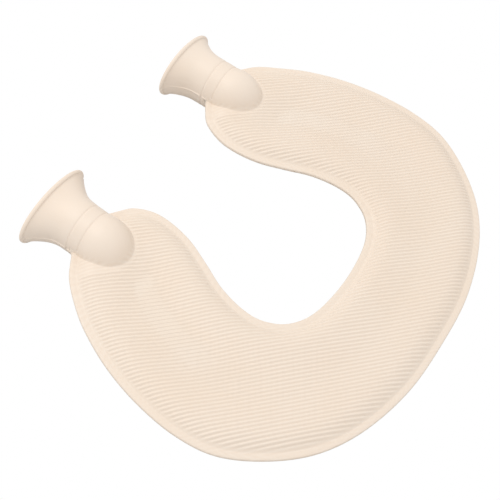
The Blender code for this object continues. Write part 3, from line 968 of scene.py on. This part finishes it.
def make_neck(name, side, material):
    neck, bag = settings("bottle_neck"), settings("bottle_bag")
    angles = neck_angles()
    off = np.abs((angles + math.pi / 2) % math.pi - math.pi / 2)
    shift = seam_shift()
    bm = bmesh.new()
    loops = []
    for y, half_width, half_height, roundness, fin in neck_rows(side):
        c, s = np.cos(angles), np.sin(angles)
        reach = (np.abs(c) ** roundness + np.abs(s) ** roundness) ** (-1.0 / roundness)
        ridge = fin * neck.fin_height / MM * np.exp(-((off * half_width / FIN_HALF_WIDTH) ** 2))
        x, z = (half_width * reach + ridge) * c, half_height * reach * s
        roll = NECK_ROLL[side] * float(ramp(y, *NECK_ROLL_Y))
        x, z = x * math.cos(roll) - z * math.sin(roll), x * math.sin(roll) + z * math.cos(roll)
        seam_y = y + ARM_EXTRA[side]
        z += bag.seam_height / MM + bag.seam_slope * seam_y
        hidden = HIDDEN_FLOOR * (1.0 - float(ramp(y, *HIDDEN_FLOOR_Y)))
        points = np.c_[neck_middle(side, y) + x, np.full(len(x), seam_y), np.maximum(z, hidden)] * MM
        points[:, 1] -= shift
        loops.append([bm.verts.new(p) for p in points])
    count = len(angles)
    for a, b in zip(loops, loops[1:] + loops[:1]):
        for i in range(count):
            j = (i + 1) % count
            bm.faces.new((a[i], a[j], b[j], b[i]))
    bmesh.ops.recalc_face_normals(bm, faces=bm.faces[:])
    for face in bm.faces:
        face.smooth = True
    mesh = bpy.data.meshes.new(name)
    bm.to_mesh(mesh)
    bm.free()
    mesh.materials.append(material)
    piece = bpy.data.objects.new(name, mesh)
    bpy.context.scene.collection.objects.link(piece)
    return piece


# --- Materials ---


def shader_group(name, inputs, outputs):
    tree = bpy.data.node_groups.new(name, "ShaderNodeTree")
    for label, kind, default in inputs:
        socket = tree.interface.new_socket(label, in_out="INPUT", socket_type=kind)
        if default is not None:
            socket.default_value = default
    for label, kind in outputs:
        tree.interface.new_socket(label, in_out="OUTPUT", socket_type=kind)
    return tree, add_node(tree, "NodeGroupInput"), add_node(tree, "NodeGroupOutput")


def mix_colours(tree, share, a, b):
    node = add_node(tree, "ShaderNodeMix", {"Factor": share}, data_type="RGBA")
    feed(tree, node.inputs[6], a)
    feed(tree, node.inputs[7], b)
    return node.outputs[2]


def noise(tree, vector, scale, detail=2.0, roughness=0.5):
    node = add_node(
        tree,
        "ShaderNodeTexNoise",
        {"Vector": vector, "Scale": scale, "Detail": detail, "Roughness": roughness},
    )
    return Term(tree, node.outputs[0])


def rubber_tone_group():
    """Broad soft patches and small pale specks in the rubber's colour."""
    tree, start, end = shader_group(
        "rubber_tone",
        (
            ("Vector", "NodeSocketVector", None),
            ("Colour", "NodeSocketColor", (0.8, 0.7, 0.6, 1.0)),
            ("Patch Colour", "NodeSocketColor", (0.8, 0.65, 0.5, 1.0)),
            ("Patch Scale", "NodeSocketFloat", 18.0),
            ("Patches", "NodeSocketFloat", 0.5),
            ("Speck Colour", "NodeSocketColor", (0.9, 0.85, 0.8, 1.0)),
            ("Specks", "NodeSocketFloat", 0.2),
        ),
        (("Colour", "NodeSocketColor"),),
    )
    out = start.outputs
    patches = noise(tree, out["Vector"], Term(tree, out["Patch Scale"]), 3.0, 0.55).smooth(0.35, 0.75)
    colour = mix_colours(tree, patches * Term(tree, out["Patches"]), out["Colour"], out["Patch Colour"])
    specks = noise(tree, out["Vector"], 900.0, 1.0).smooth(0.62, 0.78)
    colour = mix_colours(tree, specks * Term(tree, out["Specks"]), colour, out["Speck Colour"])
    tree.links.new(colour, end.inputs[0])
    return tree


def rubber_grain_group():
    """Fine moulded grain, with the faint flow marks that rubber keeps from its mould."""
    tree, start, end = shader_group(
        "rubber_grain",
        (
            ("Vector", "NodeSocketVector", None),
            ("Grain Scale", "NodeSocketFloat", 1600.0),
            ("Grain", "NodeSocketFloat", 0.5),
            ("Flow", "NodeSocketFloat", 0.5),
            ("Roughness", "NodeSocketFloat", 0.55),
            ("Spread", "NodeSocketFloat", 0.1),
        ),
        (("Height", "NodeSocketFloat"), ("Roughness", "NodeSocketFloat")),
    )
    keys = ("Grain Scale", "Grain", "Flow", "Roughness", "Spread")
    out = {key: Term(tree, start.outputs[key]) for key in keys}
    vector = start.outputs["Vector"]
    grain = noise(tree, vector, out["Grain Scale"], 2.0, 0.6)
    flow = noise(tree, vector, 60.0, 2.0, 0.5)
    height = grain * out["Grain"] + flow * out["Flow"]
    rough = out["Roughness"] + (noise(tree, vector, 35.0, 3.0) - 0.5) * out["Spread"]
    tree.links.new(height.socket, end.inputs[0])
    tree.links.new(rough.socket, end.inputs[1])
    return tree


def group_node(tree, make, inputs):
    name = make.__name__.removesuffix("_group")
    group = bpy.data.node_groups.get(name) or make()
    node = add_node(tree, "ShaderNodeGroup")
    node.node_tree = group
    for key, item in inputs.items():
        feed(tree, node.inputs[key], item)
    return node


def opaque(colour):
    return (*colour, 1.0)


def rubber(name, colour, roughness, marks=False):
    """Cream rubber; marks brings in the rim band's colour and painted shade in the valleys between ribs."""
    colours = settings("bottle_rubber")
    material = bpy.data.materials.new(name)
    material.use_nodes = True
    tree = material.node_tree
    shader = tree.nodes["Principled BSDF"]
    where = add_node(tree, "ShaderNodeTexCoord").outputs["Object"]
    patch = tuple(c * k for c, k in zip(colour, (0.985, 0.955, 0.92)))
    speck = tuple(min(1.0, c * 1.06) for c in colour)
    tone = group_node(
        tree,
        rubber_tone_group,
        {
            "Vector": where,
            "Colour": opaque(colour),
            "Patch Colour": opaque(patch),
            "Patch Scale": 16.0,
            "Patches": 0.7,
            "Speck Colour": opaque(speck),
            "Specks": 0.35,
        },
    )
    shade = tone.outputs[0]
    if marks:
        # Painted shade: the valleys between ribs are mixed towards the darker valley colour
        valley = add_node(tree, "ShaderNodeAttribute", attribute_name="rib_valley").outputs["Fac"]
        shade = mix_colours(tree, Term(tree, valley) * 0.75, shade, opaque(colours.valley))
        rim = add_node(tree, "ShaderNodeAttribute", attribute_name="rim_band").outputs["Fac"]
        shade = mix_colours(tree, Term(tree, rim) * 0.75, shade, opaque(colours.rim))
    grain = group_node(
        tree,
        rubber_grain_group,
        {"Vector": where, "Grain": 0.35, "Flow": 0.6, "Roughness": roughness, "Spread": 0.12},
    )
    bump = add_node(
        tree, "ShaderNodeBump", {"Height": grain.outputs["Height"], "Strength": 0.35, "Distance": 0.0002}
    )
    feed(tree, shader.inputs["Base Color"], shade)
    feed(tree, shader.inputs["Roughness"], grain.outputs["Roughness"])
    feed(tree, shader.inputs["Normal"], bump.outputs[0])
    shader.inputs["Specular IOR Level"].default_value = 0.4
    shader.inputs["Subsurface Weight"].default_value = 0.05
    shader.inputs["Subsurface Radius"].default_value = (1.0, 0.9, 0.8)
    shader.inputs["Subsurface Scale"].default_value = 0.0015
    material.diffuse_color = opaque(colour)
    return material


def white_table():
    """Plain white table, so bright in the picture that no shadow shows on it, yet it lights the bottle as a
    real one does."""
    material = bpy.data.materials.new("white_table")
    material.use_nodes = True
    tree = material.node_tree
    shader = tree.nodes["Principled BSDF"]
    shader.inputs["Base Color"].default_value = (0.65, 0.65, 0.65, 1.0)
    shader.inputs["Roughness"].default_value = 1.0
    shader.inputs["Specular IOR Level"].default_value = 0.0
    glow = add_node(tree, "ShaderNodeEmission", {"Color": (1.0, 1.0, 1.0, 1.0), "Strength": 1.0})
    seen = add_node(tree, "ShaderNodeLightPath").outputs["Is Camera Ray"]
    mixed = add_node(tree, "ShaderNodeMixShader", {0: seen, 1: shader.outputs[0], 2: glow.outputs[0]})
    tree.links.new(mixed.outputs[0], tree.nodes["Material Output"].inputs["Surface"])
    return material


def surround(strength):
    """White light from all round, which looks as bright as the table behind it."""
    world = bpy.data.worlds.new("white_surround")
    world.use_nodes = True
    tree = world.node_tree
    back = tree.nodes["Background"]
    back.inputs["Color"].default_value = (1.0, 1.0, 1.0, 1.0)
    back.inputs["Strength"].default_value = strength
    horizon = add_node(tree, "ShaderNodeBackground", {"Color": (1.0, 1.0, 1.0, 1.0), "Strength": 1.0})
    seen = add_node(tree, "ShaderNodeLightPath").outputs["Is Camera Ray"]
    mixed = add_node(tree, "ShaderNodeMixShader", {0: seen, 1: back.outputs[0], 2: horizon.outputs[0]})
    tree.links.new(mixed.outputs[0], tree.nodes["World Output"].inputs["Surface"])
    return world


# --- Operators ---


def dress(piece, node):
    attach(piece, "root")
    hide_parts(node)


class BOTTLE_OT_upper_panel(bpy.types.Operator):
    """Build the ribbed upper panel"""

    bl_idname = "bottle.upper_panel"
    bl_label = "Upper Panel"

    def execute(self, context):
        material = rubber("upper_rubber", settings("bottle_rubber").panel, 0.52, marks=True)
        dress(raise_sheet("upper_bag", True, material), "upper_panel")
        return {"FINISHED"}


class BOTTLE_OT_lower_panel(bpy.types.Operator):
    """Build the plain panel that lies on the surface"""

    bl_idname = "bottle.lower_panel"
    bl_label = "Lower Panel"

    def execute(self, context):
        material = rubber("lower_rubber", settings("bottle_rubber").panel, 0.55, marks=True)
        dress(raise_sheet("lower_bag", False, material), "lower_panel")
        return {"FINISHED"}


class BOTTLE_OT_necks(bpy.types.Operator):
    """Build both funnel necks"""

    bl_idname = "bottle.necks"
    bl_label = "Necks"

    def execute(self, context):
        material = rubber("neck_rubber", settings("bottle_rubber").neck, 0.45)
        for word, side in (("right", 1), ("left", -1)):
            dress(make_neck(word + "_funnel_neck", side, material), "neck_" + word)
        return {"FINISHED"}


class BOTTLE_OT_studio(bpy.types.Operator):
    """Set the floor, the light and the camera"""

    bl_idname = "bottle.studio"
    bl_label = "Studio"

    def execute(self, context):
        scene = context.scene
        studio = settings("bottle_studio")
        bm = bmesh.new()
        bmesh.ops.create_grid(bm, x_segments=8, y_segments=8, size=6.0)
        mesh = bpy.data.meshes.new("studio_floor")
        bm.to_mesh(mesh)
        bm.free()
        mesh.materials.append(white_table())
        floor = bpy.data.objects.new("studio_floor", mesh)
        scene.collection.objects.link(floor)
        floor.location.z = -0.0004

        scene.world = surround(studio.sky_light)

        lamp = bpy.data.lights.new("key_light", "AREA")
        lamp.shape = "DISK"
        lamp.size = 1.3
        lamp.energy = studio.key_power
        lamp.color = (1.0, 0.985, 0.965)
        key = bpy.data.objects.new("key_light", lamp)
        scene.collection.objects.link(key)
        key.location = (-0.1, 0.95, 1.6)
        key.rotation_euler = (Vector((0.0, 0.0, 0.0)) - key.location).to_track_quat("-Z", "Y").to_euler()

        data = bpy.data.cameras.new("camera")
        data.lens = studio.camera_lens
        data.sensor_width = 36.0
        data.clip_start, data.clip_end = 0.01, 50.0
        camera = bpy.data.objects.new("camera", data)
        scene.collection.objects.link(camera)
        camera.location = studio.camera_place
        camera.rotation_euler = studio.camera_turn
        scene.camera = camera
        scene.view_settings.view_transform = "Standard"
        return {"FINISHED"}


STEPS = (BOTTLE_OT_upper_panel, BOTTLE_OT_lower_panel, BOTTLE_OT_necks, BOTTLE_OT_studio)


class BOTTLE_PT_panel(bpy.types.Panel):
    """Lists the bottle's pieces and their settings"""

    bl_idname = "BOTTLE_PT_panel"
    bl_label = "Hot Water Bottle"
    bl_space_type = "VIEW_3D"
    bl_region_type = "UI"
    bl_category = "Bottle"

    def draw(self, context):
        for name in GROUPS:
            box = self.layout.box()
            group = getattr(context.scene, name)
            for key in group.__annotations__:
                box.prop(group, key)
        for step in STEPS:
            self.layout.operator(step.bl_idname)


GROUPS = {
    "bottle_bag": BagSettings,
    "bottle_neck": NeckSettings,
    "bottle_rubber": RubberSettings,
    "bottle_studio": StudioSettings,
}
CLASSES = (*GROUPS.values(), *STEPS, BOTTLE_PT_panel)


def register():
    for cls in CLASSES:
        bpy.utils.register_class(cls)
    for name, group in GROUPS.items():
        setattr(bpy.types.Scene, name, PointerProperty(type=group))


def unregister():
    for name in GROUPS:
        delattr(bpy.types.Scene, name)
    for cls in reversed(CLASSES):
        bpy.utils.unregister_class(cls)


def main():
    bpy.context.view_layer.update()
    register()
    bpy.ops.bottle.upper_panel()
    bpy.ops.bottle.lower_panel()
    bpy.ops.bottle.necks()
    bpy.ops.bottle.studio()


if __name__ == "__main__":
    main()
